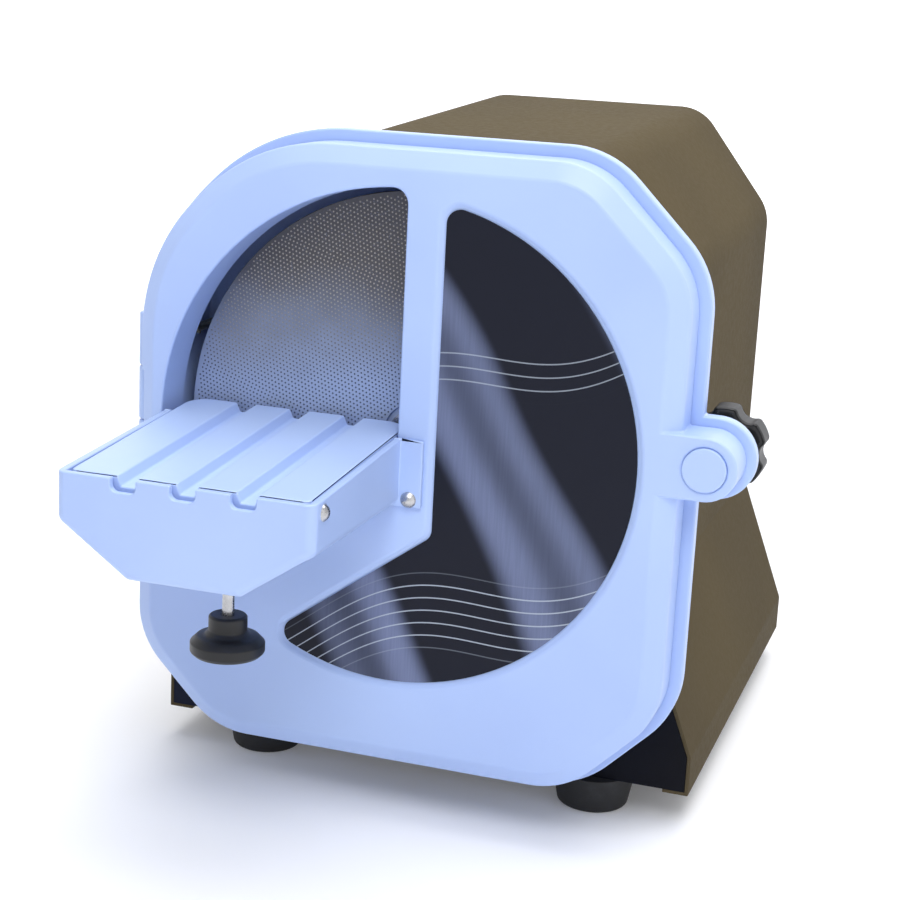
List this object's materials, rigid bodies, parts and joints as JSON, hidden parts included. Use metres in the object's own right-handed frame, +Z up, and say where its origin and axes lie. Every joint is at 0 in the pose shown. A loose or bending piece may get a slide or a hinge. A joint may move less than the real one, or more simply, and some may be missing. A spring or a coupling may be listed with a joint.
{
  "type": "dental model trimmer",
  "caption": "Bench-top wet disc trimmer with a white chamber, swinging cover, tilting grooved table and a folded steel motor housing.",
  "frame": {"origin": "middle of the bounding box's bottom face, on the bench", "axes": "+X to the right seen from the front, +Y from the work table to the rear panel, +Z up"},
  "size_m": [0.3304, 0.496, 0.3622],
  "materials": {
    "white_plastic": "smooth moulded",
    "plate_white": "smooth moulded, grooved",
    "label_navy": "printed film",
    "soft_rubber": "matt",
    "steel": "turned",
    "brass": "plated brass, turned",
    "collar_olive": "moulded",
    "black_plastic": "moulded",
    "aluminium": "turned",
    "housing_paint": "fine powder coat",
    "panel_paint": "fine powder coat",
    "cast_alloy": "as cast",
    "abrasive": "coated with grit",
    "grey_plastic": "moulded",
    "rocker_red": "moulded"
  },
  "bodies": {
    "base": {"base_plate": "panel_paint", "base_screws": "steel", "bearing_front": "steel", "bearing_rear": "steel", "cable_gland": "black_plastic", "capacitor": "grey_plastic", "capacitor_clip": "steel", "cover_gasket": "soft_rubber", "drain_spigot": "black_plastic", "fan_cowl": "panel_paint", "feet": "soft_rubber", "foot_screws": "steel", "front_panel": "panel_paint", "gland_nut": "black_plastic", "hinge_pin": "steel", "housing_shell": "housing_paint", "motor_body": "cast_alloy", "motor_bolts": "steel", "motor_front_bell": "cast_alloy", "motor_rear_bell": "cast_alloy", "rear_panel": "panel_paint", "shaft_seal": "soft_rubber", "spray_tube": "brass", "switch_bezel": "black_plastic", "terminal_block": "grey_plastic", "water_barb": "brass", "wet_chamber": "white_plastic"},
    "cover": {"front_cover": "white_plastic", "label_plate": "label_navy", "clamp_cap": "white_plastic", "clamp_insert": "brass", "table_frame": "white_plastic", "table_screws": "steel", "pivot_screws": "steel", "jack_nut": "brass"},
    "table_top": {"tilt_plate": "plate_white"},
    "jack_pad": {"thrust_pad": "black_plastic"},
    "jack_screw": {"jack_rod": "steel", "jack_knob": "black_plastic"},
    "clamp_ring": {"clamp_collar": "collar_olive"},
    "clamp_screw": {"clamp_bolt": "steel", "clamp_knob": "black_plastic"},
    "rotor": {"abrasive_disc": "abrasive", "disc_hub": "aluminium", "disc_screw": "steel", "rotor_shaft": "steel", "rotor_core": "steel", "motor_fan": "black_plastic", "slinger": "soft_rubber"},
    "switch_rocker": {"rocker": "rocker_red"}
  },
  "joints": [
    {"name": "cover_swing", "type": "hinge", "parent": "base", "child": "cover", "pos_m": [-0.16037, -0.11345, 0.2115], "axis": [0, 0, -1], "range_deg": [0, 105]},
    {"name": "plate_tilt", "type": "hinge", "parent": "cover", "child": "table_top", "pos_m": [-0.07377, -0.23625, 0.1953], "axis": [1, 0, 0], "range_deg": [-4, 6]},
    {"name": "jack_lift", "type": "slide", "parent": "cover", "child": "jack_pad", "axis": [0, 0, 1], "range_m": [-0.00291, 0.00437]},
    {"name": "jack_turn", "type": "hinge", "parent": "jack_pad", "child": "jack_screw", "pos_m": [-0.07377, -0.19455, 0.13], "axis": [0, 0, 1], "range_deg": [-1048.5, 1572.6]},
    {"name": "clamp_travel", "type": "slide", "parent": "base", "child": "clamp_ring", "axis": [0, 1, 0], "range_m": [0, 0.0125]},
    {"name": "clamp_turn", "type": "hinge", "parent": "clamp_ring", "child": "clamp_screw", "pos_m": [0.14423, -0.09455, 0.2115], "axis": [0, 1, 0], "range_deg": [-1, 3601]},
    {"name": "disc_spin", "type": "hinge", "parent": "base", "child": "rotor", "pos_m": [-0.01277, -0.03455, 0.204], "axis": [0, 1, 0], "continuous": true},
    {"name": "rocker_toggle", "type": "hinge", "parent": "base", "child": "switch_rocker", "pos_m": [-0.12907, 0.01545, 0.175], "axis": [0, -1, 0], "range_deg": [0, 16]}
  ],
  "couplings": [
    {"joint": "jack_lift", "follows": "plate_tilt", "m_per_rad": 0.0417},
    {"joint": "jack_turn", "follows": "plate_tilt", "ratio": 262.01},
    {"joint": "clamp_turn", "follows": "clamp_travel", "rad_per_m": 5026.5}
  ]
}
